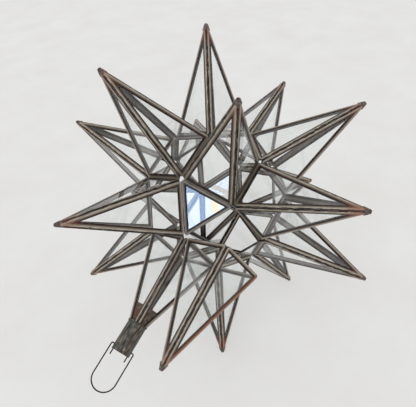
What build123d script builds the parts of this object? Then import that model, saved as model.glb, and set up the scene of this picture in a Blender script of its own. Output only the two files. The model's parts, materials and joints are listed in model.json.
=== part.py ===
from build123d import *
import math
import os

# A hanging Moravian star of framed glass: hollow four-sided spikes and flat triangles round
# an open core. Every pane is its own sheet of glass in a folded metal strip. One upper spike
# is a hinged door. The top spike is cut short for a square neck, a round tube and a wire
# bail. The origin is the hang point, under the top of the bail, with +Z up. The front is -Y
# and the right is +X.

# ---- driving dimensions (millimetres and degrees) ----

core_edge = 63.0  # side of every square and triangle of the core
apex_height = 137.0  # core square to the point where a spike's faces would meet

came_face = 4.8  # width of the folded strip, seen on the face of a pane
came_depth = 2.4  # thickness of the folded strip, from outer lip to inner lip
came_roll = 0.7  # rounding of the strip's folded back
came_lip = 0.35  # thickness of each lip
came_back = 0.45  # thickness of the folded back
seam_gap = 0.1  # solder line left between two strips that meet

glass_thickness = 1.6
glass_play = 0.1  # between the glass and the back of its strip
glass_tip = 1.8  # half the width of the cut-off point of a spike's pane
strip_tip = 0.9  # half the width of a pane's frame at the blunt end
window_tip = 0.1  # half the width of the window in that frame at its point
facet_corner = 3.0  # cut at the corners of a flat triangle, which leaves an open hole

solder_depth = 0.85  # how deep the solder lies below the face of the strips
solder_end = 3.0  # bare stretch of a ridge next to a corner of the core
tip_solder_length = 3.4  # soldered end of a spike, past its four frames
tip_solder_width = 4.6  # soldered end, where it sits on the four frames
tip_solder_top = 3.4  # soldered end, at its outer face
tip_solder_corner = 0.9  # cut at the corners of the soldered end

door_gap = 0.45  # between the shut door and each face that it meets
door_open = 44.0  # how far the door stands open as modelled

barrel_radius = 1.5  # outside of the rolled hinge barrels
barrel_length = 10.0  # length of each end barrel
barrel_gap = 0.4  # between neighbouring barrels
barrel_lift = 0.4  # from a barrel to the strip that swings past it
hinge_length = 49.0  # over both end barrels
hinge_play = 0.06  # radial, between pin and barrel
leaf_thickness = 0.5
leaf_foot = 1.1  # foot of a hinge leaf, above the edge of the core
leaf_width = 3.0
pin_radius = 0.75
pin_head_radius = 1.25
pin_head_length = 0.7

neck_height = 98.5  # core square to the collar
plate_foot = 80.0  # core square to the lower edge of the neck's metal plates
plate_thickness = 0.8
collar_radius = 11.7
collar_bore = 7.6
collar_thickness = 1.3
tube_radius = 10.75
tube_wall = 0.5
tube_length = 34.0
tube_solder = 0.8  # solder ring round the foot of the tube
lap_width = 5.0  # overlap of the tube's rolled sheet
lap_turn = -85.0  # where the overlap runs, turned from the right

wire_radius = 0.725
wire_sides = 12  # flats that stand for the wire's round section, corners on the circle
wire_play = 0.3  # radial, between the wire and its hole
wire_bend = 0.9  # each small bend is a short slant that cuts its corner by this much
bail_turn = 38.0  # direction of the bail's two holes, turned from the right
bail_half_width = 13.4  # axis of the tube to the middle of a leg
bail_leg = 34.5  # straight part of a leg, above the holes
hole_below_rim = 5.4
tail_inset = 8.8  # axis of the tube to the middle of a tail
tail_length = 11.5  # the tails reach this far above the holes, past the rim

# ---- geometry of the star ----

half_edge = core_edge / 2
square_distance = half_edge * (1 + math.sqrt(2))
triangle_distance = core_edge * (3 + math.sqrt(2)) / (2 * math.sqrt(3))
facet_inradius = core_edge / (2 * math.sqrt(3))
slant = math.hypot(apex_height, half_edge)  # length of a face, base to sharp apex
ridge_length = math.hypot(apex_height, half_edge * math.sqrt(2))
lean = math.degrees(math.atan2(apex_height, half_edge))  # face against its core square
half_point = math.atan2(half_edge, slant)  # half the angle of a face at its apex

# Half of the angle inside the star between two faces that meet along a ridge, at an edge
# between two spikes, and at an edge between a spike and a flat triangle.
square_to_square = 135.0
square_to_triangle = 180 - math.degrees(math.atan(1 / math.sqrt(2)))
ridge_half = 90 - math.degrees(math.acos(math.cos(math.radians(lean)) ** 2)) / 2
spike_half = square_to_square / 2 + lean
facet_half = (square_to_triangle + lean) / 2

rim_height = square_distance + neck_height + collar_thickness + tube_length
pivot_height = rim_height - hole_below_rim
hang_height = pivot_height + bail_leg + bail_half_width - wire_radius
centre = Vector(0, 0, -hang_height)


def setback(inner_half, gap):
    """How far a strip's back stays from the line where two outer faces meet."""
    turn = math.radians(inner_half)
    corners = (
        (came_roll, 0),
        (0, came_roll),
        (0, came_depth - came_roll),
        (came_roll, came_depth),
    )
    return max((gap / 2 + z * math.cos(turn)) / math.sin(turn) - x for x, z in corners)


ridge_setback = setback(ridge_half, seam_gap)
spike_foot = setback(spike_half, seam_gap)
facet_foot = setback(facet_half, seam_gap)
door_spike_foot = setback(spike_half, 2 * door_gap)
door_facet_foot = setback(facet_half, 2 * door_gap)


def half_width(height, inset):
    """Half the width of a face at a height up its slope, set in from the strip's back."""
    return half_edge * (1 - height / slant) - (ridge_setback + inset) / math.cos(half_point)


def point(half, inset):
    """The height up the slope where a face, set in, is this narrow."""
    side = (ridge_setback + inset) / math.cos(half_point)
    return slant * (1 - (half + side) / half_edge)


def band(inset, low, high):
    """Corners of the part of a face between two heights up its slope."""
    foot, head = half_width(low, inset), half_width(high, inset)
    return [(-foot, low), (foot, low), (head, high), (-head, high)]


def cell_plane(azimuth, elevation):
    """A face of the core: x runs level to the right and z points straight out."""
    turn, rise = math.radians(azimuth), math.radians(elevation)
    out = Vector(math.sin(turn), -math.cos(turn), 0) * math.cos(rise)
    out += Vector(0, 0, math.sin(rise))
    distance = square_distance if elevation % 45 == 0 else triangle_distance
    across = Vector(math.cos(turn), math.sin(turn), 0)
    return Plane(origin=centre + out * distance, x_dir=across, z_dir=out)


def pane_plane(square, side):
    """A spike's outer face: x along the core edge, y up the slope, z out of the star."""
    turn, rise = math.radians(90 * side), math.radians(lean)
    out = square.x_dir * math.cos(turn) + square.y_dir * math.sin(turn)
    normal = out * math.sin(rise) + square.z_dir * math.cos(rise)
    along = square.z_dir.cross(out)
    return Plane(origin=square.origin + out * half_edge, x_dir=along, z_dir=normal)


def ridge_plane(square, corner):
    """A spike's ridge: z runs up the ridge and x points away from the spike's axis."""
    turn = math.radians(90 * corner + 45)
    out = square.x_dir * math.cos(turn) + square.y_dir * math.sin(turn)
    foot = square.origin + out * half_edge * math.sqrt(2)
    ridge = (square.origin + square.z_dir * apex_height - foot).normalized()
    return Plane(origin=foot, x_dir=out - ridge * out.dot(ridge), z_dir=ridge)


def triangle_sides(azimuth, elevation):
    """Which sides of a core square meet a flat triangle, counted from the right."""
    if elevation == 0:
        return (1, 3) if azimuth % 90 else ()
    return (0, 2) if abs(elevation) == 45 else ()


def save(part, label):
    part.label = label
    export_step(part, f"parts/{label}.step")


# ---- one pane: folded strip and glass, lying on XY with its foot on X ----


def make_frame(outline, slot, window):
    """A folded strip all round a pane, with a slot for the glass."""
    with BuildPart() as frame:
        with BuildSketch():
            Polygon(*outline, align=None)
        extrude(amount=-came_depth)
        chamfer(frame.faces().filter_by(Axis.Z).edges(), came_roll)
        with BuildSketch():
            Polygon(*window, align=None)
        extrude(amount=-came_depth, mode=Mode.SUBTRACT)
        with BuildSketch(Plane.XY.offset(-came_lip)):
            Polygon(*slot, align=None)
        extrude(amount=2 * came_lip - came_depth, mode=Mode.SUBTRACT)
    return frame.part


def make_sheet(outline, thickness):
    """A flat sheet, such as glass, in the middle of a strip's slot."""
    with BuildPart() as sheet:
        with BuildSketch(Plane.XY.offset((thickness - came_depth) / 2)):
            Polygon(*outline, align=None)
        extrude(amount=-thickness)
    return sheet.part


glass_inset = came_back + glass_play
strip_end = point(strip_tip, 0)


def spike_strip(foot):
    return make_frame(
        band(0, foot, strip_end),
        band(came_back, foot + came_back, strip_end - came_back),
        band(came_face, foot + came_face, point(window_tip, came_face)),
    )


def spike_glass(foot):
    outline = band(glass_inset, foot + glass_inset, point(glass_tip, glass_inset))
    return make_sheet(outline, glass_thickness)


def place(square, part_for_side):
    """Four panes round a core square, each chosen by its side."""
    with BuildPart() as panes:
        for side in range(4):
            with Locations(pane_plane(square, side)):
                add(part_for_side[side])
    return panes.part


def choose(azimuth, elevation, plain, beside_triangle):
    sides = triangle_sides(azimuth, elevation)
    return [beside_triangle if side in sides else plain for side in range(4)]


# ---- solder: beads in the ridges and blunt ends ----

turn_half = math.radians(ridge_half)


def ridge_point(z):
    """Back of a strip at a depth below its face: outward and sideways from the ridge."""
    outward = -ridge_setback * math.cos(turn_half) - z * math.sin(turn_half)
    sideways = ridge_setback * math.sin(turn_half) - z * math.cos(turn_half)
    return outward, sideways - seam_gap / 2


bead_top, bead_side = ridge_point(solder_depth)
bead_root, _ = ridge_point(came_depth - came_roll)


def make_bead(length):
    """Solder in the groove of a ridge, from the foot of the ridge up along Z."""
    with BuildPart() as bead:
        with BuildSketch(Plane.XY.offset(solder_end)):
            Polygon((bead_root, 0), (bead_top, -bead_side), (bead_top, bead_side), align=None)
        extrude(amount=length - solder_end)
    return bead.part


def make_tip(seat):
    """The soldered end of a spike, on its four frames, along Z from the core square."""
    with BuildPart() as tip:
        for height, width in ((0, tip_solder_width), (tip_solder_length, tip_solder_top)):
            with BuildSketch(Plane.XY.offset(seat + height)) as end:
                Rectangle(width, width)
                chamfer(end.vertices(), tip_solder_corner)
        loft(ruled=True)
    return tip.part


tip_seat = strip_end * math.sin(math.radians(lean)) + seam_gap / 2
spike_bead = make_bead(ridge_length * strip_end / slant - came_roll)
spike_tip = make_tip(tip_seat)


def solder_ridges(squares):
    """Beads in the four ridges of each of these spikes."""
    with BuildPart() as beads:
        for square in squares:
            with Locations(*[ridge_plane(square, corner) for corner in range(4)]):
                add(spike_bead)
    return beads.part


def solder_ends(squares):
    """The blunt soldered end of each of these spikes."""
    with BuildPart() as ends:
        with Locations(*squares):
            add(spike_tip)
    return ends.part


os.makedirs("parts", exist_ok=True)

# ---- the fixed spikes, ring by ring ----

round_names = (
    "front",
    "front_right",
    "right",
    "back_right",
    "back",
    "back_left",
    "left",
    "front_left",
)
upper_ring = [(f"upper_{round_names[i]}", 45.0 * i, 45) for i in (2, 4, 6)]
middle_ring = [(f"middle_{round_names[i]}", 45.0 * i, 0) for i in range(8)]
lower_ring = [(f"lower_{round_names[i]}", 45.0 * i, -45) for i in (0, 2, 4, 6)]
bottom = [("bottom", 0.0, -90)]

strip_plain, glass_plain = spike_strip(spike_foot), spike_glass(spike_foot)
strip_beside, glass_beside = spike_strip(facet_foot), spike_glass(facet_foot)

for name, azimuth, elevation in upper_ring + middle_ring + lower_ring + bottom:
    square = cell_plane(azimuth, elevation)
    strips = choose(azimuth, elevation, strip_plain, strip_beside)
    panes = choose(azimuth, elevation, glass_plain, glass_beside)
    save(place(square, strips), f"{name}_came")
    save(place(square, panes), f"{name}_glass")

for name, ring in (
    ("upper", upper_ring),
    ("middle", middle_ring),
    ("lower", lower_ring),
    ("bottom", bottom),
):
    squares = [cell_plane(azimuth, elevation) for _, azimuth, elevation in ring]
    save(solder_ridges(squares), f"{name}_ridge_solder")
    save(solder_ends(squares), f"{name}_ends")

# ---- the eight flat triangles ----

triangle_rise = math.degrees(math.atan(1 / math.sqrt(2)))


def triangle(inset):
    """Sketch of a flat pane, cut at its corners and set in from the strip's back."""
    with BuildSketch() as shape:
        reach = facet_inradius - facet_foot
        RegularPolygon(reach, 3, major_radius=False, rotation=90)
        chamfer(shape.vertices(), facet_corner)
        offset(amount=-inset, mode=Mode.REPLACE)
    return shape.sketch


with BuildPart() as facet_strip:
    with BuildSketch():
        add(triangle(0.0))
    extrude(amount=-came_depth)
    chamfer(facet_strip.faces().filter_by(Axis.Z).edges(), came_roll)
    with BuildSketch():
        add(triangle(came_face))
    extrude(amount=-came_depth, mode=Mode.SUBTRACT)
    with BuildSketch(Plane.XY.offset(-came_lip)):
        add(triangle(came_back))
    extrude(amount=2 * came_lip - came_depth, mode=Mode.SUBTRACT)

with BuildPart() as facet_glass:
    with BuildSketch(Plane.XY.offset((glass_thickness - came_depth) / 2)):
        add(triangle(glass_inset))
    extrude(amount=-glass_thickness)

for level, up in (("upper", 1), ("lower", -1)):
    cells = [cell_plane(45 + 90 * i, up * triangle_rise) for i in range(4)]
    places = [Plane(cell.origin, x_dir=cell.x_dir * up, z_dir=cell.z_dir) for cell in cells]
    with BuildPart() as strips:
        with Locations(*places):
            add(facet_strip.part)
    save(strips.part, f"{level}_facet_came")
    with BuildPart() as panes:
        with Locations(*places):
            add(facet_glass.part)
    save(panes.part, f"{level}_facet_glass")

# ---- the neck: the top spike, cut short under a collar, a tube and a wire bail ----

top_square = cell_plane(0.0, 90)
neck_end = top_square.offset(neck_height)
past_neck = (neck_height + came_depth) / math.sin(math.radians(lean))
plate_low = plate_foot / math.sin(math.radians(lean))

neck_strip = make_frame(
    band(0, spike_foot, past_neck),
    band(came_back, spike_foot + came_back, past_neck + came_back),
    band(came_face, spike_foot + came_face, past_neck + came_back),
)
neck_sheet = make_sheet(
    band(glass_inset, spike_foot + glass_inset, plate_low - glass_play), glass_thickness
)
neck_plate = make_sheet(band(glass_inset, plate_low, past_neck), plate_thickness)

neck_strips = place(top_square, [neck_strip] * 4)
with BuildPart() as neck_came:
    add(neck_strips)
    split(bisect_by=neck_end, keep=Keep.BOTTOM)
save(neck_came.part, "neck_came")

save(place(top_square, [neck_sheet] * 4), "neck_glass")

neck_sheets = place(top_square, [neck_plate] * 4)
with BuildPart() as neck_plates:
    add(neck_sheets)
    split(bisect_by=neck_end, keep=Keep.BOTTOM)
save(neck_plates.part, "neck_plates")

with BuildPart() as neck_collar:
    with BuildSketch(neck_end):
        Circle(collar_radius)
        Circle(collar_bore, mode=Mode.SUBTRACT)
    extrude(amount=collar_thickness)
save(neck_collar.part, "neck_collar")

# The tube is a rolled sheet: its edges overlap in a raised lap down the outside.
tube_foot = neck_end.offset(collar_thickness)
bail_plane = Plane(
    origin=centre + Vector(0, 0, pivot_height),
    x_dir=Vector(1, 0, 0).rotate(Axis.Z, bail_turn),
    z_dir=Vector(0, -1, 0).rotate(Axis.Z, bail_turn),
)
hole_plane = Plane(bail_plane.origin, x_dir=bail_plane.y_dir, z_dir=bail_plane.x_dir)
lap_angle = math.degrees(lap_width / tube_radius)
lap_start = lap_turn - lap_angle / 2

with BuildPart() as cap_tube:
    with BuildSketch(tube_foot):
        Circle(tube_radius)
        Circle(tube_radius - tube_wall, mode=Mode.SUBTRACT)
    extrude(amount=tube_length)
    with BuildSketch(tube_foot.offset(tube_solder)):
        with BuildLine():
            lap = CenterArc((0, 0), tube_radius + tube_wall, lap_start, lap_angle)
            inner = CenterArc((0, 0), tube_radius - tube_wall / 2, lap_start, lap_angle)
            Line(lap @ 0, inner @ 0)
            Line(lap @ 1, inner @ 1)
        make_face()
    extrude(amount=tube_length - tube_solder)
    with BuildSketch(hole_plane):
        Circle(wire_radius + wire_play)
    extrude(amount=bail_half_width, both=True, mode=Mode.SUBTRACT)
save(cap_tube.part, "cap_tube")

# Solder in the neck's four ridges and in a ring round the foot of the tube.
neck_bead = make_bead(ridge_length * past_neck / slant)
with BuildPart() as neck_solder:
    with Locations(*[ridge_plane(top_square, corner) for corner in range(4)]):
        add(neck_bead)
    split(bisect_by=neck_end, keep=Keep.BOTTOM)
    with BuildSketch(Plane(tube_foot.origin, x_dir=(1, 0, 0), z_dir=(0, -1, 0))):
        Polygon(
            (tube_radius, 0),
            (tube_radius + tube_solder, 0),
            (tube_radius, tube_solder),
            align=None,
        )
    revolve(axis=Axis.Z)
save(neck_solder.part, "neck_solder")

# One wire: up through the tube, out of a hole, over the top and in again.
with BuildPart() as bail:
    with BuildLine(bail_plane) as wire:
        for side in (-1, 1):
            Polyline(
                (side * tail_inset, tail_length),
                (side * tail_inset, wire_bend),
                (side * (tail_inset + wire_bend), 0),
                (side * (bail_half_width - wire_bend), 0),
                (side * bail_half_width, wire_bend),
                (side * bail_half_width, bail_leg),
            )
        CenterArc((0, bail_leg), bail_half_width, 0, 180)
    path = wire.wires()[0]
    with BuildSketch(Plane(origin=path @ 0, z_dir=path % 0)):
        RegularPolygon(wire_radius, wire_sides)
    sweep(path=path, transition=Transition.RIGHT)
save(bail.part, "bail")

# ---- the door: the upper front spike, hinged along its edge with the neck ----

outer_half = math.radians(180 - spike_half)
barrel_height = barrel_radius + barrel_lift  # axis of the hinge above the strips
shut_square = cell_plane(0.0, 45)
hinge_edge = shut_square.origin + shut_square.y_dir * half_edge
hinge_point = hinge_edge + (top_square.z_dir + shut_square.z_dir).normalized() * (
    barrel_height / math.sin(outer_half)
)
swing = Pos(*hinge_point) * Rot(X=-door_open) * Pos(*(-hinge_point))
door_square = Plane(swing * shut_square.location)

door_strip, door_sheet = spike_strip(door_spike_foot), spike_glass(door_spike_foot)
door_strip_beside = spike_strip(door_facet_foot)
door_sheet_beside = spike_glass(door_facet_foot)
save(place(door_square, choose(0.0, 45, door_strip, door_strip_beside)), "door_came")
save(place(door_square, choose(0.0, 45, door_sheet, door_sheet_beside)), "door_glass")
save(solder_ridges([door_square]), "door_ridge_solder")
save(solder_ends([door_square]), "door_end")


def make_hinge_side(pane, spans, bore):
    """Barrels, each with a leaf that lies on the strip of this pane."""
    middle = (barrel_height / math.tan(outer_half), barrel_height)
    with BuildPart() as side:
        for low, high in spans:
            with BuildSketch(Plane.YZ.offset(low)):
                with Locations(middle):
                    Circle(barrel_radius)
                with Locations((leaf_foot, 0)):
                    Rectangle(leaf_width, leaf_thickness, align=Align.MIN)
                with Locations(middle):
                    Circle(bore, mode=Mode.SUBTRACT)
            extrude(amount=high - low)
    return pane.from_local_coords(side.part)


half_hinge = hinge_length / 2
inner_end = half_hinge - barrel_length
middle_end = inner_end - barrel_gap
neck_pane = pane_plane(top_square, 3)
door_pane = pane_plane(door_square, 1)
end_spans = ((-half_hinge, -inner_end), (inner_end, half_hinge))
save(make_hinge_side(neck_pane, end_spans, pin_radius), "neck_hinge_leaves")
save(
    make_hinge_side(door_pane, ((-middle_end, middle_end),), pin_radius + hinge_play),
    "door_hinge_leaf",
)

with BuildPart() as hinge_pin:
    with BuildSketch(Plane(hinge_point, z_dir=(1, 0, 0))):
        Circle(pin_radius)
    extrude(amount=half_hinge, both=True)
    for end in hinge_pin.faces().sort_by(Axis.X)[0], hinge_pin.faces().sort_by(Axis.X)[-1]:
        with BuildSketch(Plane(end)):
            Circle(pin_head_radius)
        extrude(amount=pin_head_length)
save(hinge_pin.part, "hinge_pin")
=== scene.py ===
# %% [markdown]
# A hanging star of framed glass
#
# The real star is built from flat panes. Each pane of clear glass sits in its own folded metal
# strip, four panes make a spike, and the spikes are soldered edge to edge round an open core.
# The pieces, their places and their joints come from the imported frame. This lesson gives them
# their finish: strips with a rounded, worn face, lumpy solder, thin clear glass and a smooth
# wire bail.

import json
import math

import bmesh
import bpy
from mathutils import Matrix, Vector, noise


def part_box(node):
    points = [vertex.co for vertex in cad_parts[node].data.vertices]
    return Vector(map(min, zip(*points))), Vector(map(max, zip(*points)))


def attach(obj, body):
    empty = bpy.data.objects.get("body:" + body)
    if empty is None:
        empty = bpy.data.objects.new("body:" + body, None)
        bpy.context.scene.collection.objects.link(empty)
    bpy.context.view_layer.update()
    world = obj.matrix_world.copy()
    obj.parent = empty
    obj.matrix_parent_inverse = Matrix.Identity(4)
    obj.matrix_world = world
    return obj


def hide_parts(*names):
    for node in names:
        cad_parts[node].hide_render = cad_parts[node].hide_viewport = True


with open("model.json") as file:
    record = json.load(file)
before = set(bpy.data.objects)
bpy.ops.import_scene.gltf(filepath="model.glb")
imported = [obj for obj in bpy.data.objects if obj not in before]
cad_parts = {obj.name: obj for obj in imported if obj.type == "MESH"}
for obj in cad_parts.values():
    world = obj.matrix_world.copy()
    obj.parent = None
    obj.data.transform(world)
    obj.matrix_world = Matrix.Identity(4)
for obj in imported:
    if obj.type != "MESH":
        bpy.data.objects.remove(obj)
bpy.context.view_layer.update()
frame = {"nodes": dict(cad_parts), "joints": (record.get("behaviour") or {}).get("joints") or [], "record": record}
nodes = frame["nodes"]

# %% [markdown]
# Measure the star
#
# The star's centre is level with the ring of middle spikes, on the axis of the neck. It is
# measured from the frame, and so is the foot of a spike, which is as wide as an edge of the
# core but for the seams. The frame holds no values for strips, glass and wire, so their sizes
# are repeated from the part's source where they are needed.

# %% Star sizes
mm = 0.001
left_low, left_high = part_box("middle_left_came")
right_low, right_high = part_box("middle_right_came")
star_centre = Vector((0.0, 0.0, (left_low.z + left_high.z) / 2))
measured_edge = right_high.y - right_low.y
print("centre", [round(v, 4) for v in star_centre], "spike's foot", round(measured_edge, 4))

# %% [markdown]
# Small helpers
#
# One helper puts an object into the scene. The others write a finish, which is a tree of
# shader nodes: they add a node, set its sockets and join it to others, so that each material
# below reads as a short recipe.


# %% Helpers
def add_object(name, data):
    """A new object in the scene, at the origin."""
    made = bpy.data.objects.new(name, data)
    bpy.context.scene.collection.objects.link(made)
    return made


def new_material(name):
    """A material with an empty node tree and its output node."""
    material = bpy.data.materials.new(name)
    material.use_nodes = True
    material.node_tree.nodes.clear()
    return material, material.node_tree, add_node(material.node_tree, "OutputMaterial")


def add_node(tree, kind, inputs=None, **settings):
    """Adds a shader node. Inputs are values or the sockets of other nodes."""
    node = tree.nodes.new("ShaderNode" + kind)
    for name, value in settings.items():
        setattr(node, name, value)
    for name, value in (inputs or {}).items():
        if isinstance(value, bpy.types.NodeSocket):
            tree.links.new(value, node.inputs[name])
        else:
            node.inputs[name].default_value = value
    return node


def maths(tree, operation, *values, **settings):
    """The result of one Math node."""
    node = add_node(tree, "Math", dict(enumerate(values)), operation=operation, **settings)
    return node.outputs[0]


def vector_maths(tree, operation, *values):
    """The result of one VectorMath node: a vector, or a number where that is what it gives."""
    node = add_node(tree, "VectorMath", dict(enumerate(values)), operation=operation)
    gives_number = operation in ("DOT_PRODUCT", "DISTANCE", "LENGTH")
    return node.outputs["Value" if gives_number else "Vector"]


def remap(tree, value, source=(0.0, 1.0), target=(0.0, 1.0)):
    """Carries a value from one range to another and holds it at the ends."""
    ends = dict(zip(("From Min", "From Max", "To Min", "To Max"), (*source, *target)))
    return add_node(tree, "MapRange", {"Value": value, **ends}).outputs["Result"]


def object_place(tree):
    """Object coordinates, which stay with a piece when it moves."""
    return add_node(tree, "TexCoord").outputs["Object"]


def cloud(tree, place, scale, detail, roughness=0.5):
    """Fractal noise about 0.5."""
    inputs = {"Vector": place, "Scale": scale, "Detail": detail, "Roughness": roughness}
    return add_node(tree, "TexNoise", inputs).outputs["Fac"]


def blend(tree, share, first, second, **settings):
    """A share of the second colour over the first."""
    inputs = {"Fac": share, "Color1": first, "Color2": second}
    return add_node(tree, "MixRGB", inputs, **settings).outputs["Color"]


def mix_shaders(tree, share, first, second):
    """A share of the second shader over the first."""
    return add_node(tree, "MixShader", {0: share, 1: first.outputs[0], 2: second.outputs[0]})


def ramp(tree, factor, stops):
    """A colour ramp from (place, colour) stops."""
    node = add_node(tree, "ValToRGB", {"Fac": factor})
    elements = node.color_ramp.elements
    while len(elements) < len(stops):
        elements.new(0.5)
    for element, (place, colour) in zip(elements, stops):
        element.position = place
        element.color = (*colour, 1.0)
    return node.outputs["Color"]


def srgb(red, green, blue):
    """A colour as it is picked on a screen, 0 to 255, in linear values."""
    parts = [value / 255 for value in (red, green, blue)]
    return tuple(p / 12.92 if p <= 0.04045 else ((p + 0.055) / 1.055) ** 2.4 for p in parts)


print("helpers ready")

# %% [markdown]
# Camera
#
# The camera was solved from the tips and corners of the star, so it is given as a place and
# two directions, seen from the star's centre. It looks down on the star, which lies on its
# side with the neck towards the lower left.

# %% Camera
image_width = 416
focal_pixels = 436.02
sensor_width = 36.0
camera_place = star_centre + Vector((0.3084, -0.3932, 0.2057))
camera_right = Vector((-0.5595, -0.6718, -0.4855)).normalized()
camera_forward = Vector((-0.5712, 0.737, -0.3614))
camera_forward = (camera_forward - camera_right * camera_forward.dot(camera_right)).normalized()
camera_up = camera_right.cross(camera_forward)

camera_data = bpy.data.cameras.new("camera")
camera_data.sensor_fit = "HORIZONTAL"
camera_data.sensor_width = sensor_width
camera_data.lens = focal_pixels / image_width * sensor_width
camera_data.clip_start = 0.01
camera = add_object("camera", camera_data)
turn = Matrix((camera_right, camera_up, -camera_forward)).transposed().to_4x4()
camera.matrix_world = Matrix.Translation(camera_place) @ turn
bpy.context.scene.camera = camera
bpy.context.scene.view_settings.view_transform = "Standard"
print("lens", round(camera_data.lens, 2), "mm")

# %% [markdown]
# Floor and background
#
# The star lies on a pale painted surface. A star on its side rests on three or four tips, so
# the surface leans against the star's own axes: its upward direction was worked out from the
# tips that touch it. Its underside lets light through, so that it never hides the star from a
# camera below.

# %% Floor
floor_up = Vector((0.863, -0.357, -0.357)).normalized()
floor_drop = 0.1775
floor_reach = 6.0
shadow_lift = 0.66  # share of the paint's plain colour in what is seen of the floor
floor_colour = srgb(231, 231, 231)
floor_mottle = srgb(226, 225, 222)

mesh = bpy.data.meshes.new("floor")
side_a = floor_up.orthogonal().normalized() * floor_reach
side_b = floor_up.cross(side_a)
corners = [side_a + side_b, -side_a + side_b, -side_a - side_b, side_a - side_b]
mesh.from_pydata([star_centre - floor_up * floor_drop + c for c in corners], [], [(0, 1, 2, 3)])
floor = add_object("floor", mesh)
if mesh.polygons[0].normal.dot(floor_up) < 0:
    mesh.flip_normals()

material, tree, output = new_material("painted surface")
mottle = cloud(tree, object_place(tree), scale=9.0, detail=4.0, roughness=0.6)
paint = ramp(tree, mottle, [(0.3, floor_mottle), (0.7, floor_colour)])
path = add_node(tree, "LightPath").outputs
seen = maths(tree, "ADD", path["Is Camera Ray"], path["Is Glossy Ray"])
seen = maths(tree, "ADD", seen, path["Is Transmission Ray"])
lift = maths(tree, "MULTIPLY", seen, shadow_lift, use_clamp=True)
plain = add_node(tree, "BsdfDiffuse", {"Color": paint})
lit = add_node(tree, "Emission", {"Color": paint})
top = mix_shaders(tree, lift, plain, lit)
underside = add_node(tree, "BsdfTransparent")
behind = add_node(tree, "NewGeometry").outputs["Backfacing"]
surface = mix_shaders(tree, behind, top, underside)
tree.links.new(surface.outputs[0], output.inputs["Surface"])
mesh.materials.append(material)
print("floor", round(floor_drop / mm, 1), "mm below the centre")

# %% [markdown]
# Light
#
# The light is soft daylight from a window behind the camera, with pale walls all round. A pale
# world, a little brighter on the window's side, fills the shadows. A sun with a wide disc gives
# the gentle shadow. The window itself is a bright panel that only reflections see: it shows in
# the flat triangle that faces the camera.

# %% World and lamps
window_way = Vector((0.541, -0.375, 0.751)).normalized()
world_strength = 0.96
wall_tones = [(0.0, (0.74, 0.745, 0.755)), (0.55, (0.8, 0.8, 0.8)), (1.0, (0.96, 0.96, 0.96))]
daylight_way = window_way + floor_up * 1.3
daylight_width = math.radians(40)
daylight_strength = 0.7
daylight_colour = (1.0, 0.995, 0.98)
window_distance = 1.6
window_colour, window_strength = srgb(176, 208, 255), 10.5
warm_colour, warm_strength = srgb(255, 208, 140), 9.1
warm_lead = 4 * mm  # the warm corner lies this far in front of the window
# Where both show in the picture: left, low, right and high edges, in pixels from the centre
# of the front triangle.
window_pixels = (-32, -36, 34, 34)
warm_pixels = (12, -5, 20, 7)

world = bpy.data.worlds.new("pale room")
bpy.context.scene.world = world
world.use_nodes = True
tree = world.node_tree
backdrop = tree.nodes["Background"]
way = add_node(tree, "TexCoord").outputs["Generated"]
facing = vector_maths(tree, "DOT_PRODUCT", way, window_way)
walls = ramp(tree, remap(tree, facing, (-1.0, 1.0)), wall_tones)
tree.links.new(walls, backdrop.inputs["Color"])
backdrop.inputs["Strength"].default_value = world_strength

daylight_data = bpy.data.lights.new("daylight", "SUN")
daylight_data.angle = daylight_width
daylight_data.energy = daylight_strength
daylight_data.color = daylight_colour
daylight = add_object("daylight", daylight_data)
daylight.rotation_euler = daylight_way.normalized().to_track_quat("Z", "Y").to_euler()
daylight.visible_glossy = False


def glow(name, colour, strength):
    """A material that shines from its front only."""
    material, tree, output = new_material(name)
    shine = add_node(tree, "Emission", {"Color": (*colour, 1.0), "Strength": strength})
    dark = add_node(tree, "BsdfTransparent")
    behind = add_node(tree, "NewGeometry").outputs["Backfacing"]
    surface = mix_shaders(tree, behind, shine, dark)
    tree.links.new(surface.outputs[0], output.inputs["Surface"])
    return material


def window_panel():
    """A bright window with a warm corner, which the front triangle mirrors to the camera."""
    normal = Vector((1, -1, 1)).normalized()
    pane = star_centre + normal * measured_edge * (3 + math.sqrt(2)) / (2 * math.sqrt(3))
    sight = pane - camera_place
    scale = (sight.length + window_distance) / focal_pixels

    def mirrored(vector):
        return vector - normal * 2 * vector.dot(normal)

    way, side, rise = (mirrored(v) for v in (sight.normalized(), camera_right, camera_up))
    verts = []
    for (left, low, right, high), lead in ((window_pixels, 0), (warm_pixels, warm_lead)):
        place = pane + way * (window_distance - lead)
        for across, up in ((left, low), (right, low), (right, high), (left, high)):
            verts.append(place + side * across * scale + rise * up * scale)
    mesh = bpy.data.meshes.new("window")
    mesh.from_pydata(verts, [], [(0, 1, 2, 3), (4, 5, 6, 7)])
    if mesh.polygons[0].normal.dot(way) > 0:
        mesh.flip_normals()
    mesh.materials.append(glow("bright window", window_colour, window_strength))
    mesh.materials.append(glow("warm corner", warm_colour, warm_strength))
    mesh.polygons.foreach_set("material_index", [0, 1])
    panel = add_object("window", mesh)
    for kind in ("camera", "diffuse", "transmission", "volume_scatter", "shadow"):
        setattr(panel, "visible_" + kind, False)


window_panel()
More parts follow.
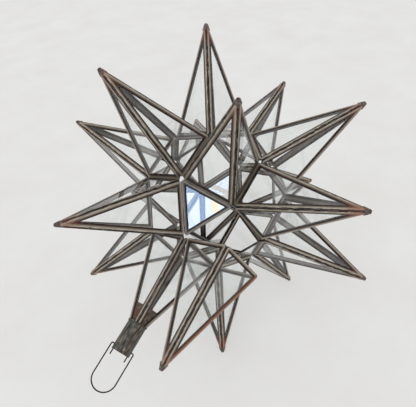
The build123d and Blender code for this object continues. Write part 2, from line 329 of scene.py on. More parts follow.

# %% [markdown]
# Metal
#
# The strips are thin folded sheet with a dark pewter patina. The beige grey along the middle of
# the face is partly polish from handling and partly a painted highlight, and the dark groove and
# edges are partly patina and partly painted shade. Heat has left copper tints near the soldered
# ends. The flat triangles' strips take a darker copy of the same finish, which is painted shade.
# The tube is rolled from grey sheet, and the other metal shares one recipe in its own tones.

# %% Metal finish
copper = srgb(122, 74, 52)
rose = srgb(168, 128, 118)
strip_copper = srgb(150, 90, 68)
cream_tint = srgb(196, 186, 164)
rust_tint = srgb(110, 62, 46)
copper_reach = (5.5 * mm, 7.5 * mm)  # a coppered ridge fades out between these distances
copper_share = 0.46
# Tones across the strip: a painted highlight over the polished middle, and painted shade over the dark patina of
# the groove and the edges.
patina_highlight_and_shade_tones = [  # across the strip, from its rolled back at 0 to its lip at 1
    (0.0, srgb(40, 33, 30)),
    (0.05, srgb(84, 74, 67)),
    (0.15, srgb(200, 192, 176)),
    (0.36, srgb(180, 172, 158)),
    (0.6, srgb(114, 102, 93)),
    (0.8, srgb(76, 55, 47)),
    (0.95, srgb(32, 24, 22)),
]
streak_tones = [(0.34, (0.42, 0.4, 0.38)), (0.56, (1.0, 1.0, 1.0))]
streak_stretch = (70.0, 11.0, 1.0)  # streaks per metre of a run, and across its strip
streak_change = 40.0  # makes the streaks of one spike unlike the next one's
warm_heights = (0.74, 0.95)  # shares of the slope where the warm tint starts and is full
tube_stretch = (520.0, 520.0, 110.0)  # streaks per metre across the tube, and down it
cream_patch_turn = math.radians(-62)  # round the tube, from its right side
cream_patch_radius = 11.2 * mm
cream_patch_drop = 5 * mm  # below the tube's rim
cream_patch_reach = (1 * mm, 6 * mm)
rim_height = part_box("cap_tube")[1].z
lap_turn = math.radians(-85)
lap_half = math.radians(13)
lap_reach = 0.14  # radians


def worn_metal(tree, output, colour, roughness, relief, metallic, strength, depth):
    """Joins a metal surface with a slight relief to a material's output."""
    bump = add_node(tree, "Bump", {"Height": relief, "Strength": strength, "Distance": depth})
    inputs = {"Base Color": colour, "Metallic": metallic, "Roughness": roughness}
    inputs["Normal"] = bump.outputs["Normal"]
    metal = add_node(tree, "BsdfPrincipled", inputs)
    tree.links.new(metal.outputs[0], output.inputs["Surface"])


def patina(name, tones, tint, tint_share, roughness, scale):
    """Aged sheet metal: three tones in fine noise, with patches of a warmer tint."""
    material, tree, output = new_material(name)
    place = object_place(tree)
    grain = cloud(tree, place, scale, detail=6.0, roughness=0.65)
    tone = ramp(tree, grain, list(zip((0.32, 0.5, 0.7), (srgb(*tone) for tone in tones))))
    patch = cloud(tree, place, scale=scale * 0.18, detail=3.0)
    share = remap(tree, patch, (0.5, 0.72), (0.0, tint_share))
    colour = blend(tree, share, tone, (*tint, 1.0))
    rough = remap(tree, grain, target=(roughness + 0.12, roughness - 0.1))
    worn_metal(tree, output, colour, rough, grain, metallic=0.85, strength=0.25, depth=0.2 * mm)
    return material


def strip_patina(name, shade=1.0, copper_line=None):
    """Worn strip: a rubbed middle with a painted highlight, a dark groove and edges that are partly
    patina and partly painted shade, streaks along the run, warm tips.

    A copper line is a ridge, given by a point on it and its direction. The strips beside it
    are coppered along their whole length.
    """
    material, tree, output = new_material(name)
    place = object_place(tree)
    run = add_node(tree, "UVMap", uv_map="strip").outputs["UV"]
    across = add_node(tree, "SeparateXYZ", {"Vector": run}).outputs["Y"]
    drift = cloud(tree, place, scale=14.0, detail=2.0)
    streaks = add_node(
        tree,
        "TexNoise",
        {
            "Vector": vector_maths(tree, "MULTIPLY", run, streak_stretch),
            "W": maths(tree, "MULTIPLY", drift, streak_change),
            "Scale": 1.0,
            "Detail": 6.0,
        },
        noise_dimensions="4D",
    ).outputs["Fac"]
    sway = remap(tree, streaks, (0.3, 0.7), (-0.12, 0.12))
    # Patina with a painted highlight along the middle and painted shade at the groove and edges.
    fold = ramp(tree, maths(tree, "ADD", across, sway), patina_highlight_and_shade_tones)
    shaded = [(stop, tuple(shade * part for part in colour)) for stop, colour in streak_tones]
    colour = blend(tree, 1.0, fold, ramp(tree, streaks, shaded), blend_type="MULTIPLY")

    height = add_node(tree, "Attribute", attribute_name="height").outputs["Fac"]
    near_tip = remap(tree, height, warm_heights, (0.0, 0.95))
    patches = remap(tree, drift, (0.4, 0.62), (0.25, 1.0))
    warmth = maths(tree, "MULTIPLY", near_tip, patches)
    if copper_line:
        start, way = copper_line
        offset = vector_maths(tree, "SUBTRACT", place, start)
        apart = vector_maths(tree, "LENGTH", vector_maths(tree, "CROSS_PRODUCT", offset, way))
        coppered = remap(tree, apart, copper_reach, (copper_share, 0.0))
        warmth = maths(tree, "MAXIMUM", warmth, coppered)
    colour = blend(tree, warmth, colour, (*strip_copper, 1.0))

    rough = remap(tree, streaks, (0.3, 0.7), (0.55, 0.34))
    grain = cloud(tree, place, scale=900.0, detail=3.0)
    worn_metal(tree, output, colour, rough, grain, metallic=0.8, strength=0.2, depth=0.1 * mm)
    return material


def rolled_sheet(name):
    """The tube: grey streaks down its length, a cream patch by the rim, a rusty lap."""
    material, tree, output = new_material(name)
    place = object_place(tree)
    split = add_node(tree, "SeparateXYZ", {"Vector": place}).outputs
    tall = vector_maths(tree, "MULTIPLY", place, tube_stretch)
    streaks = cloud(tree, tall, scale=1.0, detail=6.0)
    blotch = cloud(tree, place, scale=420.0, detail=5.0)
    tones = [(0.3, srgb(48, 47, 44)), (0.5, srgb(84, 82, 76)), (0.7, srgb(136, 131, 120))]
    colour = ramp(tree, streaks, tones)

    # A cream patch near the rim, blotchy, fading out with distance from one point.
    cream_patch_x, cream_patch_y = math.cos(cream_patch_turn) * cream_patch_radius, math.sin(cream_patch_turn) * cream_patch_radius
    cream_patch_place = Vector((cream_patch_x, cream_patch_y, rim_height - cream_patch_drop))
    near = vector_maths(tree, "DISTANCE", place, cream_patch_place)
    cream_patch_mask = maths(tree, "MULTIPLY", blotch, remap(tree, near, cream_patch_reach, (1.0, 0.0)))
    cream = remap(tree, cream_patch_mask, (0.36, 0.62), (0.0, 0.6))
    colour = blend(tree, cream, colour, (*cream_tint, 1.0))

    turn = maths(tree, "ARCTAN2", split["Y"], split["X"])
    off_lap = maths(tree, "ABSOLUTE", maths(tree, "SUBTRACT", turn, lap_turn + lap_half))
    rust = maths(tree, "MULTIPLY", remap(tree, off_lap, (0.0, lap_reach), (0.85, 0.0)), blotch)
    colour = blend(tree, rust, colour, (*rust_tint, 1.0))

    rough = remap(tree, streaks, target=(0.6, 0.34))
    worn_metal(tree, output, colour, rough, streaks, metallic=0.7, strength=0.3, depth=0.2 * mm)
    return material


strip_finish = strip_patina("pewter strip")
# The flat triangles' strips take a darker copy of the same finish: painted shade.
shaded_triangle_strip_finish = strip_patina("pewter strip with painted shade", shade=0.5)
cap_finish = rolled_sheet("grey rolled sheet")
end_finish = patina(
    "soldered end", [(52, 47, 44), (94, 86, 81), (146, 136, 129)],
    tint=rose, tint_share=0.5, roughness=0.42, scale=420,
)
hinge_finish = patina(
    "pewter leaf", [(58, 52, 48), (100, 92, 85), (146, 137, 126)],
    tint=copper, tint_share=0.3, roughness=0.4, scale=260,
)
solder_finish = patina(
    "dark solder", [(38, 36, 35), (70, 66, 64), (112, 106, 103)],
    tint=rose, tint_share=0.35, roughness=0.42, scale=420,
)
plate_finish = patina(
    "patinated plate", [(66, 56, 52), (98, 86, 80), (128, 118, 110)],
    tint=copper, tint_share=0.7, roughness=0.5, scale=320,
)
wire_finish = patina(
    "drawn wire", [(30, 24, 21), (44, 37, 33), (72, 62, 55)],
    tint=copper, tint_share=0.2, roughness=0.42, scale=300,
)
print("finishes", [m.name for m in bpy.data.materials])

# %% [markdown]
# Glass
#
# Clear window glass hides very little: most light goes straight through, and a faint
# reflection grows towards grazing angles. A mix of a clear and a mirror shader by Fresnel does
# that without bending the view, which keeps the far side of the star crisp. Only the side by
# which the light enters a pane shines, or the way out would turn into a full mirror. A very
# light grey on the clear part stands for the light lost in each pane, and a thin film of dust,
# uneven by noise, catches a little light.

# %% Glass finish
glass_index = 1.6
dust_share = (0.008, 0.06)
panes_in_line = 48  # see-through surfaces that a ray may cross

glass_finish, tree, output = new_material("clear pane")
clear = add_node(tree, "BsdfTransparent", {"Color": (0.985, 0.99, 0.988, 1.0)})
haze = add_node(tree, "BsdfDiffuse", {"Color": (0.86, 0.87, 0.86, 1.0)})
shine = add_node(tree, "BsdfGlossy", {"Color": (1.0, 1.0, 1.0, 1.0), "Roughness": 0.0})
film = cloud(tree, object_place(tree), scale=22.0, detail=5.0, roughness=0.6)
dusty = mix_shaders(tree, remap(tree, film, (0.42, 0.72), dust_share), clear, haze)
edge = add_node(tree, "Fresnel", {"IOR": glass_index}).outputs["Fac"]
behind = add_node(tree, "NewGeometry").outputs["Backfacing"]
share = maths(tree, "MULTIPLY", edge, maths(tree, "SUBTRACT", 1.0, behind))
pane = mix_shaders(tree, share, dusty, shine)
tree.links.new(pane.outputs[0], output.inputs["Surface"])
bpy.context.scene.cycles.transparent_max_bounces = panes_in_line
print("glass ready")

# %% [markdown]
# Give every piece its finish
#
# The record names a material slot for each piece, and each slot has its finish. The flat
# triangles' strips, the door's strips and the soldered ends get a variant of theirs further
# down, where they are made.

# %% Assign finishes
finish_by_slot = {
    "came": strip_finish,
    "solder": solder_finish,
    "glass": glass_finish,
    "plates": plate_finish,
    "cap": cap_finish,
    "wire": wire_finish,
    "hinge": hinge_finish,
}
slot_of = {part["node"]: part["material_slot"] for part in frame["record"]["subparts"]}
for name, node in nodes.items():
    node.data.materials.clear()
    node.data.materials.append(finish_by_slot[slot_of[name]])
print("finished", len(nodes), "pieces")

# %% [markdown]
# Folded strips
#
# On the real star each pane is edged with a strip of thin metal folded to a U. Its back is
# rolled round and its face is slightly crowned. Every strip shows a bright line with a dark
# edge on both sides, which the finish paints in as a highlight and shade across the strip. The
# frame's strips have flat faces, so they are replaced by these: one profile is carried round
# the outline of a pane, with mitred corners.
#
# The mesh has a UV map that holds how far along the run and how far across the strip a place
# lies, and each point stores its height up the pane, so that the patina, its painted highlight
# and its painted shade can follow the fold.

# %% Strip sizes
core_edge = 63.0 * mm
apex_height = 137.0 * mm
neck_height = 98.5 * mm
strip_face = 4.8 * mm
strip_depth = 2.4 * mm
strip_roll = 0.7 * mm
strip_tip = 0.9 * mm  # half the width of a strip's outline at the blunt end
window_tip = 0.1 * mm  # half the width of its window there
facet_corner = 3.0 * mm
foot_cut = 2.4 * mm
seam_gap = 0.1 * mm
door_gap = 0.45 * mm
side_shift = 0.4  # in the UV map, between one side of a pane and the next

# Across the strip from its rolled back to its lip, and depth below the pane's outer face.
outer_face = [(0, 1.2), (0, 0.8), (0.12, 0.45), (0.42, 0.17), (0.95, 0.02), (1.7, 0.0)]
outer_face += [(2.7, 0.03), (3.7, 0.12), (4.5, 0.25), (4.8, 0.36)]
slot_bottom = [(0.5, 0.38)]
upper_half = [(x * mm, -z * mm) for x, z in outer_face + slot_bottom]
strip_profile = upper_half + [(x, -strip_depth - z) for x, z in reversed(upper_half[1:])]
print("strip profile", len(strip_profile), "points")

# %% [markdown]
# Geometry of the core
#
# The core has eighteen squares and eight triangles. A square is named by its turn round the
# axis and its rise above level. The strips stop short of the lines where the faces meet, just
# far enough for their rolled backs to touch.

# %% Core geometry
half_edge = core_edge / 2
square_distance = half_edge * (1 + math.sqrt(2))
triangle_distance = core_edge * (3 + math.sqrt(2)) / (2 * math.sqrt(3))
slant = math.hypot(apex_height, half_edge)
lean = math.atan2(apex_height, half_edge)
half_point = math.atan2(half_edge, slant)

# Half of the angle on the inner side, where the outer faces of two panes meet: along a ridge,
# between two spikes, and between a spike and a flat triangle.
ridge_half = math.pi / 2 - math.acos(math.cos(lean) ** 2) / 2
spike_half = math.radians(67.5) + lean
facet_half = (math.pi - math.atan(1 / math.sqrt(2)) + lean) / 2


def setback(inner_half, gap):
    """How far a strip's back stays from the line where two outer faces meet."""
    inner_roll = strip_depth - strip_roll
    rolled = [(strip_roll, 0), (0, strip_roll), (0, inner_roll), (strip_roll, strip_depth)]
    reach = [(gap / 2 + z * math.cos(inner_half)) / math.sin(inner_half) - x for x, z in rolled]
    return max(reach)


ridge_setback = setback(ridge_half, seam_gap)


def half_width(height, inset):
    """Half the width of a pane at a height up its slope, set in from its edge."""
    return half_edge * (1 - height / slant) - (ridge_setback + inset) / math.cos(half_point)


def narrow_height(half, inset):
    """The height up its slope at which a pane, set in from its edge, has this half width."""
    side = (ridge_setback + inset) / math.cos(half_point)
    return slant * (1 - (half + side) / half_edge)


def square_axes(azimuth, elevation):
    """Centre, right, up and outward directions of a face of the core."""
    turn, rise = math.radians(azimuth), math.radians(elevation)
    out = Vector((math.sin(turn), -math.cos(turn), 0)) * math.cos(rise)
    out += Vector((0, 0, math.sin(rise)))
    across = Vector((math.cos(turn), math.sin(turn), 0))
    distance = square_distance if elevation % 45 == 0 else triangle_distance
    return star_centre + out * distance, across, out.cross(across), out


def pane_matrices(axes):
    """Places of the four panes of a spike: x along the core edge, y up the slope, z out."""
    origin, across, up, out = axes
    places = []
    for side in range(4):
        turn = math.pi / 2 * side
        away = across * math.cos(turn) + up * math.sin(turn)
        normal = away * math.sin(lean) + out * math.cos(lean)
        along = out.cross(away)
        frame_of_pane = Matrix((along, normal.cross(along), normal)).transposed().to_4x4()
        places.append(Matrix.Translation(origin + away * half_edge) @ frame_of_pane)
    return places


print("lean", round(math.degrees(lean), 2), "ridge setback", round(ridge_setback / mm, 2), "mm")

# %% [markdown]
# One strip for each kind of pane
#
# A pane's outline is known at every inset from its edge, so a strip is made of rings: one for
# each point of the profile, joined by quads. The neck's panes are open at the top, where the
# collar sits on them, so theirs is a run with two closed ends.


# %% Strip meshes
def ring_mesh(name, outline_at, closed=True):
    """Carries the strip's profile round an outline given by inset and height."""
    rings = [[Vector((u, v, z)) for u, v in outline_at(x, z)] for x, z in strip_profile]
    count, rows = len(rings[0]), len(rings)
    mesh = bpy.data.meshes.new(name)
    faces, places = [], []
    for i in range(count if closed else count - 1):
        j = (i + 1) % count
        run = (rings[0][j] - rings[0][i]).normalized()
        for row in range(rows):
            after = (row + 1) % rows
            quad = ((row, i), (row, j), (after, j), (after, i))
            faces.append([at * count + corner for at, corner in quad])
            for at, corner in quad:
                inset = strip_profile[at][0] / strip_face
                places.append((rings[at][corner].dot(run) + side_shift * i, inset))
    if not closed:
        for end in (0, count - 1):
            faces.append([row * count + end for row in range(rows)])
            places += [(side_shift * end, x / strip_face) for x, _ in strip_profile]
    mesh.from_pydata([point for ring in rings for point in ring], [], faces)
    layer = mesh.uv_layers.new(name="strip")
    for loop, place in zip(layer.data, places):
        loop.uv = place
    height = mesh.attributes.new("height", "FLOAT", "POINT")
    height.data.foreach_set("value", [point.y / slant for ring in rings for point in ring])
    return mesh


def cut_foot(wide, low, inset):
    """Both foot corners of a pane, cut off so that a hole stays open where spikes meet."""
    corner = math.pi / 4 - half_point / 2  # half of the angle between foot and ridge
    shrink = (1 / math.sin(corner) - 1) / math.cos(corner)
    cut = max(foot_cut - inset * shrink, 0)
    drift, rise = cut * math.sin(half_point), cut * math.cos(half_point)
    left = [(-wide + drift, low + rise), (-wide + cut, low)]
    return left + [(wide - cut, low), (wide - drift, low + rise)]


def spike_outline(foot):
    """A spike's pane: cut at the foot corners and blunt at the tip."""
    end = narrow_height(strip_tip, 0)
    window_end = narrow_height(window_tip, strip_face)

    def outline(x, z):
        low = foot + x
        high = end + (window_end - end) * x / strip_face
        wide, narrow = half_width(low, x), half_width(high, x)
        return cut_foot(wide, low, x) + [(narrow, high), (-narrow, high)]

    return outline


def neck_outline(foot):
    """The neck's pane: cut at the foot corners and ended level, below the collar."""

    def outline(x, z):
        low = foot + x
        high = (neck_height - z * math.cos(lean)) / math.sin(lean)
        wide, narrow = half_width(low, x), half_width(high, x)
        return [(-narrow, high)] + cut_foot(wide, low, x) + [(narrow, high)]

    return outline


def facet_outline(foot):
    """A flat triangle with its three corners cut."""
    reach = core_edge / (2 * math.sqrt(3)) - foot
    cut = 2 * reach - facet_corner * math.cos(math.pi / 6)

    def outline(x, z):
        side, corner = reach - x, cut - x
        depth = min(corner, 2 * side)
        spread = max((2 * side - depth) * math.tan(math.pi / 6), 0)
        points = []
        for third in range(3):
            turn = math.radians(90 + 120 * third)
            axis = Vector((math.cos(turn), math.sin(turn)))
            left = Vector((-axis.y, axis.x))
            points += [axis * depth - left * spread, axis * depth + left * spread]
        return [(p.x, p.y) for p in points]

    return outline


feet = {
    "plain": setback(spike_half, seam_gap),
    "beside": setback(facet_half, seam_gap),
    "door_plain": setback(spike_half, 2 * door_gap),
    "door_beside": setback(facet_half, 2 * door_gap),
}
strip_meshes = {
    kind: ring_mesh(kind + "_strip", spike_outline(foot)) for kind, foot in feet.items()
}
strip_meshes["neck"] = ring_mesh("neck_strip", neck_outline(feet["plain"]), closed=False)
strip_meshes["facet"] = ring_mesh("facet_strip", facet_outline(feet["beside"]))
print({name: len(mesh.polygons) for name, mesh in strip_meshes.items()})

# %% [markdown]
# Glass cut to its strip
#
# A sheet of glass fills the slot of its strip, so its foot corners are cut like the strip's.
# Each sheet is the pane's outline, set in by the back of the fold, with a thickness.

# %% Glass meshes
glass_inset = 0.55 * mm
glass_top, glass_bottom = 0.4 * mm, 2.0 * mm  # below the pane's outer face
glass_tip = 1.8 * mm  # half the width of a sheet at its cut-off point
plate_foot = 80.0 * mm
plate_clearance = 0.1 * mm


def sheet_mesh(name, low, high):
    """A flat sheet between two heights up a pane, with its foot corners cut."""
    wide, narrow = half_width(low, glass_inset), half_width(high, glass_inset)
    outline = cut_foot(wide, low, glass_inset) + [(narrow, high), (-narrow, high)]
    count = len(outline)
    verts = [(x, y, -z) for z in (glass_top, glass_bottom) for x, y in outline]
    faces = [tuple(range(count)), tuple(reversed(range(count, 2 * count)))]
    faces += [(i, i + count, (i + 1) % count + count, (i + 1) % count) for i in range(count)]
    mesh = bpy.data.meshes.new(name)
    mesh.from_pydata(verts, [], faces)
    return mesh


sheet_end = narrow_height(glass_tip, glass_inset)
neck_sheet_end = plate_foot / math.sin(lean) - plate_clearance
sheet_meshes = {
    kind: sheet_mesh(kind + "_sheet", foot + glass_inset, sheet_end) for kind, foot in feet.items()
}
sheet_meshes["neck"] = sheet_mesh("neck_sheet", feet["plain"] + glass_inset, neck_sheet_end)
print("sheets", sorted(sheet_meshes))

# %% [markdown]
# Setting the pieces round the star
#
# The star's eighty strips are of only six kinds, and the glass of its spikes and neck repeats
# in the same way. So Geometry Nodes sets them: each pane is a point that stores its turn, and
# the tree puts a copy on every point, makes the copies real and gives them their material. The
# result is turned into a plain mesh. The soldered ends are set by the same tree.


# %% Setting tree
def new_tree(name, inputs, output):
    """A Geometry Nodes tree with named inputs, and its first and last nodes."""
    tree = bpy.data.node_groups.new(name, "GeometryNodeTree")
    for label, kind in inputs.items():
        tree.interface.new_socket(label, in_out="INPUT", socket_type="NodeSocket" + kind)
    tree.interface.new_socket(output, in_out="OUTPUT", socket_type="NodeSocketGeometry")
    return tree, tree.nodes.new("NodeGroupInput").outputs, tree.nodes.new("NodeGroupOutput").inputs


def end_tree(tree, geometry, start, end):
    """Makes a tree's copies real and gives them their material."""
    real = tree.nodes.new("GeometryNodeRealizeInstances")
    finish = tree.nodes.new("GeometryNodeSetMaterial")
    tree.links.new(geometry, real.inputs["Geometry"])
    tree.links.new(real.outputs["Geometry"], finish.inputs["Geometry"])
    tree.links.new(start["Material"], finish.inputs["Material"])
    tree.links.new(finish.outputs["Geometry"], end[0])


def run_nodes(tree, mesh, values):
    """Runs a tree on a mesh with these named inputs, and returns a plain mesh."""
    owner = add_object("owner", mesh)
    modifier = owner.modifiers.new("tree", "NODES")
    modifier.node_group = tree
    for item in tree.interface.items_tree:
        if item.name in values:
            modifier[item.identifier] = values[item.name]
    evaluated = owner.evaluated_get(bpy.context.evaluated_depsgraph_get())
    made = bpy.data.meshes.new_from_object(evaluated)
    bpy.data.objects.remove(owner)
    return made


def setting_tree():
    """Puts one object on every point, turned by the point's own attribute."""
    inputs = {"Places": "Geometry", "Piece": "Object", "Material": "Material"}
    tree, start, end = new_tree("set pieces on places", inputs, "Pieces")
    piece = tree.nodes.new("GeometryNodeObjectInfo")
    turn = tree.nodes.new("GeometryNodeInputNamedAttribute")
    turn.data_type = "QUATERNION"
    turn.inputs["Name"].default_value = "turn"
    setter = tree.nodes.new("GeometryNodeInstanceOnPoints")
    tree.links.new(start["Piece"], piece.inputs["Object"])
    tree.links.new(start["Places"], setter.inputs["Points"])
    tree.links.new(piece.outputs["Geometry"], setter.inputs["Instance"])
    tree.links.new(turn.outputs["Attribute"], setter.inputs["Rotation"])
    end_tree(tree, setter.outputs["Instances"], start, end)
    return tree


def set_pieces(mesh, places, material):
    """One plain mesh with a copy of a mesh at each of these places."""
    points = bpy.data.meshes.new("places")
    points.from_pydata([place.translation for place in places], [], [])
    turn = points.attributes.new("turn", "QUATERNION", "POINT")
    for index, place in enumerate(places):
        turn.data[index].value = place.to_quaternion()
    piece = add_object("piece", mesh)
    made = run_nodes(piece_tree, points, {"Piece": piece, "Material": material})
    bpy.data.objects.remove(piece)
    return made


piece_tree = setting_tree()
print("tree", piece_tree.name, len(piece_tree.nodes), "nodes")

# %% [markdown]
# The star's strips and glass, spike by spike
#
# Sides of a square that meet a flat triangle need the other foot. The door is built shut and
# then swung open about its hinge, as the frame has it. Heat has coppered one of its ridges
# along the whole length.

# %% Strips and glass on every spike
turn_names = "front front_right right back_right back back_left left front_left".split()
rings = {  # turn and rise of each spike's square, in degrees
    "upper": [(45 * i, 45) for i in (2, 4, 6)],
    "middle": [(45 * i, 0) for i in range(8)],
    "lower": [(45 * i, -45) for i in (0, 2, 4, 6)],
    "bottom": [(0, -90)],
}
strip_crease = 35  # edges sharper than this many degrees stay sharp
solder_crease = 60
weld_distance = 1e-6  # points closer than this are one


def finish_piece(name, meshes, node, body, slot, crease_degrees=strip_crease, finish=None):
    """Joins meshes to one named piece that stands for a node of the frame."""
    joined = bmesh.new()
    for mesh in meshes:
        joined.from_mesh(mesh)
    bmesh.ops.remove_doubles(joined, verts=joined.verts, dist=weld_distance)
    bmesh.ops.recalc_face_normals(joined, faces=joined.faces)
    for face in joined.faces:
        face.smooth = True
    for edge in joined.edges:
        if len(edge.link_faces) == 2 and edge.calc_face_angle(0) > math.radians(crease_degrees):
            edge.smooth = False
    mesh = bpy.data.meshes.new(name)
    joined.to_mesh(mesh)
    joined.free()
    mesh.materials.clear()
    mesh.materials.append(finish or finish_by_slot[slot])
    mesh.polygons.foreach_set("material_index", [0] * len(mesh.polygons))
    piece = add_object(name, mesh)
    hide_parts(node)
    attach(piece, body)


def sides_by_triangles(azimuth, elevation):
    """Which of a square's four sides meet a flat triangle."""
    if elevation == 0:
        return (1, 3) if azimuth % 90 else ()
    return (0, 2) if abs(elevation) == 45 else ()


def finish_spike(name, body, axes, cell, kinds=("plain", "beside"), finish=None):
    """A spike's strips and its glass. Sides by a flat triangle take the second kind."""
    near = sides_by_triangles(*cell)
    places_of = {kind: [] for kind in kinds}
    for side, place in enumerate(pane_matrices(axes)):
        places_of[kinds[1] if side in near else kinds[0]].append(place)
    chosen = {kind: places for kind, places in places_of.items() if places}
    made = [set_pieces(strip_meshes[kind], places, strip_finish) for kind, places in chosen.items()]
    finish_piece(name + "_strips", made, name + "_came", body, "came", finish=finish)
    made = [set_pieces(sheet_meshes[kind], places, glass_finish) for kind, places in chosen.items()]
    finish_piece(name + "_panes", made, name + "_glass", body, "glass")


def joint_named(name):
    """A joint of the frame."""
    return next(joint for joint in frame["joints"] if joint["name"] == name)


for ring, cells in rings.items():
    for cell in cells:
        name = ring if ring == "bottom" else f"{ring}_{turn_names[cell[0] // 45]}"
        finish_spike(name, "star", square_axes(*cell), cell)

neck_axes = square_axes(0, 90)
finish_spike("neck", "star", neck_axes, (0, 90), ("neck", "neck"))

triangle_rise = math.degrees(math.atan(1 / math.sqrt(2)))
for level, sense in (("upper", 1), ("lower", -1)):
    places = []
    for quarter in range(4):
        origin, across, up, out = square_axes(45 + 90 * quarter, sense * triangle_rise)
        turn = Matrix((across * sense, up * sense, out)).transposed().to_4x4()
        places.append(Matrix.Translation(origin) @ turn)
    made = [set_pieces(strip_meshes["facet"], places, strip_finish)]
    piece, node = level + "_triangle_strips", level + "_facet_came"
    # These strips take the darker copy of the strip finish, which is painted shade.
    finish_piece(piece, made, node, "star", "came", finish=shaded_triangle_strip_finish)

hinge = joint_named("door_hinge")
hinge_place = Vector(hinge["pos_m"])
swing = Matrix.Rotation(math.radians(-hinge["range_deg"][0]), 3, Vector(hinge["axis"]))
origin, *ways = square_axes(0, 45)
door_axes = (hinge_place + swing @ (origin - hinge_place), *(swing @ way for way in ways))

origin, across, up, out = door_axes
corner = origin - (across + up) * half_edge
ridge = (origin + out * apex_height - corner).normalized()
door_strip_finish = strip_patina("coppered strip", copper_line=(corner, ridge))
door_kinds = ("door_plain", "door_beside")
finish_spike("door", "door", door_axes, (0, 45), door_kinds, door_strip_finish)

# %% [markdown]
# Solder along the ridges
#
# A run of solder lies in every groove between two strips. Hand soldering leaves it uneven: it
# swells and thins every few millimetres. Geometry Nodes takes a straight line for each ridge,
# cuts it into short steps, changes the radius by noise and wraps a tube round it. The same
# tree draws the bail, whose wire keeps one radius.

# %% Tube tree
solder_grain = 260.0  # swellings per metre


def wrapping_tree():
    """Wraps a tube round every line of the input, with a radius that wavers."""
    inputs = {"Lines": "Geometry", "Radius": "Float", "Waver": "Float", "Step": "Float"}
    inputs.update({"Sides": "Int", "Material": "Material"})
    tree, start, end = new_tree("tube along lines", inputs, "Tubes")
    curve = tree.nodes.new("GeometryNodeMeshToCurve")
    steps = tree.nodes.new("GeometryNodeResampleCurve")
    steps.mode = "LENGTH"
    circle = tree.nodes.new("GeometryNodeCurvePrimitiveCircle")
    circle.inputs["Radius"].default_value = 1.0
    tube = tree.nodes.new("GeometryNodeCurveToMesh")
    tube.inputs["Fill Caps"].default_value = True
    wobble = add_node(tree, "TexNoise", {"Scale": solder_grain}).outputs[0]
    waver = maths(tree, "MULTIPLY", maths(tree, "SUBTRACT", wobble, 0.5), start["Waver"])
    radius = maths(tree, "MULTIPLY", start["Radius"], maths(tree, "ADD", waver, 1.0))
    tree.links.new(start["Lines"], curve.inputs["Mesh"])
    tree.links.new(curve.outputs["Curve"], steps.inputs["Curve"])
    tree.links.new(start["Step"], steps.inputs["Length"])
    tree.links.new(start["Sides"], circle.inputs["Resolution"])
    tree.links.new(steps.outputs["Curve"], tube.inputs["Curve"])
    tree.links.new(circle.outputs["Curve"], tube.inputs["Profile Curve"])
    tree.links.new(radius, tube.inputs["Scale"])
    end_tree(tree, tube.outputs["Mesh"], start, end)
    return tree


def draw_tubes(lines, radius, waver, step, sides, material):
    """One plain mesh of tubes, each along a list of points. A line may end where it began."""
    verts, edges = [], []
    for line in lines:
        first, looped = len(verts), line[0] == line[-1]
        points = line[:-1] if looped else line
        edges += [(first + i, first + i + 1) for i in range(len(points) - 1)]
        edges += [(first + len(points) - 1, first)] if looped else []
        verts += points
    mesh = bpy.data.meshes.new("lines")
    mesh.from_pydata(verts, edges, [])
    values = {"Radius": radius, "Waver": waver, "Step": step, "Sides": sides}
    return run_nodes(tube_tree, mesh, {**values, "Material": material})


tube_tree = wrapping_tree()
print("tree", tube_tree.name, len(tube_tree.nodes), "nodes")

# %% [markdown]
# Ridges of every ring
#
# A ridge runs from a corner of the core square to the point where its faces would meet. The
# solder starts a little above the corner and ends under the soldered tip. The neck has four
# ridges too, and a ring of solder round the foot of the tube.

# %% Ridge solder
solder_start = 3.4 * mm
solder_depth = 2.3 * mm
solder_radius = 0.6 * mm
solder_waver = 0.9  # share of the radius
solder_step = 1.3 * mm
solder_sides = 8
solder_stop = 0.6 * mm  # the neck's solder ends this far below the collar
tube_radius = 10.75 * mm
collar_thickness = 1.3 * mm
ring_steps = 96
ring_radius = tube_radius + 0.2 * mm
ring_height = square_distance + neck_height + collar_thickness + 0.25 * mm
ring_thickness = 0.5 * mm
ring_waver = 0.6
ring_step = 0.7 * mm
strip_end = narrow_height(strip_tip, 0)


def ridge_lines(axes, share):
    """The four lines in the grooves of a spike, up to a share of the ridge's length."""
    origin, across, up, out = axes
    point_of_spike = origin + out * apex_height
    lines = []
    for quarter in range(4):
        turn = math.radians(90 * quarter + 45)
        away = across * math.cos(turn) + up * math.sin(turn)
        foot = origin + away * half_edge * math.sqrt(2)
        ridge = (point_of_spike - foot).normalized()
        inward = (ridge * away.dot(ridge) - away).normalized() * solder_depth
        length = (point_of_spike - foot).length * share
        lines.append([foot + inward + ridge * solder_start, foot + inward + ridge * length])
    return lines


def solder_runs(all_axes, share):
    """The solder in the ridges of these spikes."""
    lines = [line for axes in all_axes for line in ridge_lines(axes, share)]
    return draw_tubes(lines, solder_radius, solder_waver, solder_step, solder_sides, solder_finish)


def finish_solder(name, node, body, made):
    """Joins runs of solder to one named piece."""
    finish_piece(name, made, node, body, "solder", solder_crease)


under_tip = (strip_end - strip_roll) / slant
for ring, cells in rings.items():
    made = [solder_runs([square_axes(*cell) for cell in cells], under_tip)]
    finish_solder(ring + "_solder_runs", ring + "_ridge_solder", "star", made)
made = [solder_runs([door_axes], under_tip)]
finish_solder("door_solder_runs", "door_ridge_solder", "door", made)

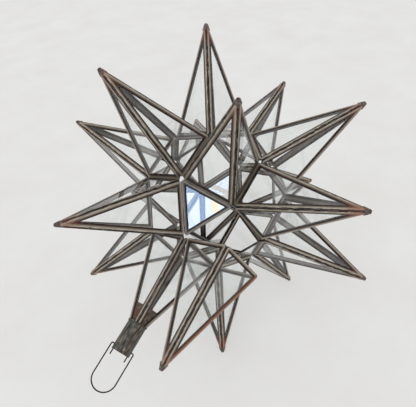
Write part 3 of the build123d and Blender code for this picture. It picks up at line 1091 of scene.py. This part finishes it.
ring_line = []
for step in range(ring_steps):
    turn = 2 * math.pi * step / ring_steps
    away = Vector((math.cos(turn), math.sin(turn), 0)) * ring_radius
    ring_line.append(star_centre + away + Vector((0, 0, ring_height)))
ring_line.append(ring_line[0])
made = [
    solder_runs([neck_axes], (neck_height - solder_stop) / apex_height),
    draw_tubes([ring_line], ring_thickness, ring_waver, ring_step, solder_sides, solder_finish),
]
finish_solder("neck_solder_runs", "neck_solder", "star", made)
print("solder runs", len(rings) + 2)

# %% [markdown]
# Soldered ends
#
# Each spike ends in a blunt lump that holds its four strips. It is wider where the solder ran
# down over the strips and its end face is nearly flat. One lump is shaped as a stack of
# rounded squares, set on every tip, and then its surface is pushed about by noise so that no
# two are alike.

# %% Tip lumps
tip_length = 3.4 * mm
lump_rings = [  # height above the seat, half width, roundness from square 0 to circle 1
    (-4.6, 3.12, 0.12),
    (-4.2, 3.3, 0.14),
    (-2.6, 3.05, 0.22),
    (-1.0, 2.72, 0.32),
    (0.4, 2.42, 0.42),
    (1.8, 2.1, 0.55),
    (2.7, 1.86, 0.65),
    (3.15, 1.55, 0.75),
    (3.34, 1.1, 0.85),
    (3.38, 0.5, 1.0),
]
lump_sides = 32
lump_reach = 12 * mm  # a point this close to a tip belongs to its lump
lump_grain = 420.0  # bumps per metre
lump_push = 0.26 * mm


def lump_mesh():
    """A blunt soldered end along Z, closed at both ends."""
    verts, faces = [], []
    for height, half, roundness in lump_rings:
        for step in range(lump_sides):
            turn = 2 * math.pi * step / lump_sides
            x, y = math.cos(turn), math.sin(turn)
            square = 1 / max(abs(x), abs(y))
            reach = half * (square + (1 - square) * roundness)
            verts.append((x * reach * mm, y * reach * mm, height * mm))
    for row in range(len(lump_rings) - 1):
        low, high = row * lump_sides, (row + 1) * lump_sides
        for i in range(lump_sides):
            j = (i + 1) % lump_sides
            faces.append((low + i, low + j, high + j, high + i))
    faces.append(list(reversed(range(lump_sides))))
    faces.append([len(verts) - lump_sides + i for i in range(lump_sides)])
    mesh = bpy.data.meshes.new("lump")
    mesh.from_pydata(verts, [], faces)
    return mesh


def lumps(all_axes):
    """A lump on the tip of each of these spikes, pushed about by noise."""
    seat = strip_end * math.sin(lean) + seam_gap / 2
    places = []
    for origin, across, up, out in all_axes:
        turn = Matrix((across, up, out)).transposed().to_4x4()
        places.append(Matrix.Translation(origin + out * seat) @ turn)
    made = set_pieces(tip_lump, places, solder_finish)
    for vertex in made.vertices:
        for origin, _, _, out in all_axes:
            offset = vertex.co - (origin + out * (seat + tip_length / 2))
            if offset.length < lump_reach:
                push = noise.noise(vertex.co * lump_grain) * lump_push
                flat = offset - out * offset.dot(out)
                vertex.co += flat.normalized() * push
    return made


def finish_ends(name, node, body, all_axes):
    """The soldered ends of these spikes, as one named piece."""
    made = [lumps(all_axes)]
    finish_piece(name, made, node, body, "solder", solder_crease, end_finish)


tip_lump = lump_mesh()
for ring, cells in rings.items():
    all_axes = [square_axes(*cell) for cell in cells]
    finish_ends(ring + "_soldered_ends", ring + "_ends", "star", all_axes)
finish_ends("door_soldered_end", "door_end", "door", [door_axes])
print("tips", sum(len(cells) for cells in rings.values()) + 1)

# %% [markdown]
# The bail
#
# One wire goes up inside the tube, out of a hole, over the top and in again. Its bends are
# round on the real lamp, so the path is drawn with short arcs.

# %% Bail wire
wire_radius = 0.72 * mm
wire_step = 0.45 * mm
wire_sides = 16
bail_half_width = 13.4 * mm
bail_leg = 34.5 * mm
tail_inset = 8.8 * mm
tail_length = 11.5 * mm
bend_radius = 1.5 * mm
bend_steps = 6
arch_steps = 40
bail_joint = joint_named("bail_swing")
pivot = Vector(bail_joint["pos_m"])
side_way = Vector(bail_joint["axis"]).normalized()


def bend(corner, before, after):
    """Points of a quarter bend that replaces a corner."""
    leave, arrive = (before - corner).normalized(), (after - corner).normalized()
    middle = corner + (leave + arrive) * bend_radius
    points = []
    for step in range(bend_steps + 1):
        turn = math.pi / 2 * step / bend_steps
        ahead, aside = arrive * bend_radius * math.cos(turn), leave * bend_radius * math.sin(turn)
        points.append(middle - ahead - aside)
    return points


def bail_path():
    """The wire's middle line, from one tail over the top to the other."""

    def flat(x, z):
        return Vector((x, 0, z))

    tail, inner = flat(tail_inset, tail_length), flat(tail_inset, 0)
    outer, shoulder = flat(bail_half_width, 0), flat(bail_half_width, bail_leg)
    half = [tail, *bend(inner, tail, outer), *bend(outer, inner, shoulder), shoulder]
    over = []
    for step in range(1, arch_steps):
        turn = math.pi * step / arch_steps
        x, z = bail_half_width * math.cos(turn), bail_half_width * math.sin(turn)
        over.append(flat(x, bail_leg + z))
    other = [flat(-p.x, p.z) for p in reversed(half)]
    return [pivot + side_way * p.x + Vector((0, 0, p.z)) for p in half + over + other]


made = draw_tubes([bail_path()], wire_radius, 0.0, wire_step, wire_sides, wire_finish)
finish_piece("bail_wire", [made], "bail", "bail", "wire", solder_crease)
print("bail", len(made.polygons), "faces")
